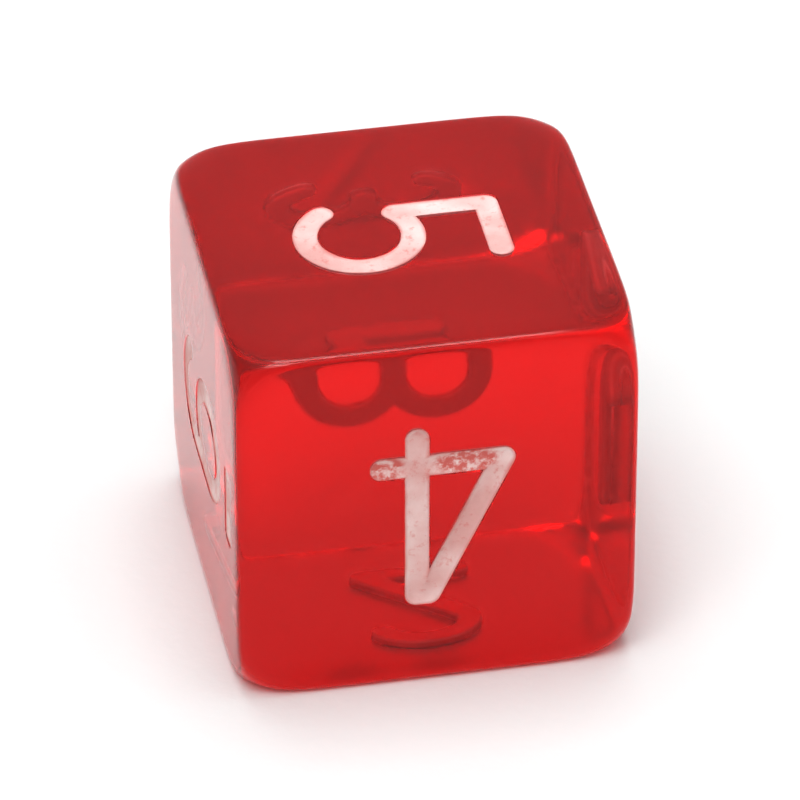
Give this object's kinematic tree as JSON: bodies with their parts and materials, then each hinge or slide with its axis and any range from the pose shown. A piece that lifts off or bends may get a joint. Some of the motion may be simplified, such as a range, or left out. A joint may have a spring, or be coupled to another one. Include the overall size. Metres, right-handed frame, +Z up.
{
  "type": "casino die",
  "caption": "Clear red cube die with worn corners and a white-filled engraved numeral on each face, thrown to give a random number.",
  "frame": {"origin": "middle of the face with the 2, which the die rests on", "axes": "+Z up, out of the face with the 5; +X out of the face with the 1; -Y out of the face with the 4"},
  "size_m": [0.015, 0.015, 0.015],
  "materials": {
    "clear_red_plastic": "polished transparent red plastic, tumbled, with slightly softened edges and corners",
    "white_paint": "matt warm-white enamel wiped into the engraving, slightly uneven"
  },
  "bodies": {
    "root": {"die_body": "clear_red_plastic", "numeral_1_paint": "white_paint", "numeral_2_paint": "white_paint", "numeral_3_paint": "white_paint", "numeral_4_paint": "white_paint", "numeral_5_paint": "white_paint", "numeral_6_paint": "white_paint", "six_underline_paint": "white_paint"}
  },
  "joints": []
}
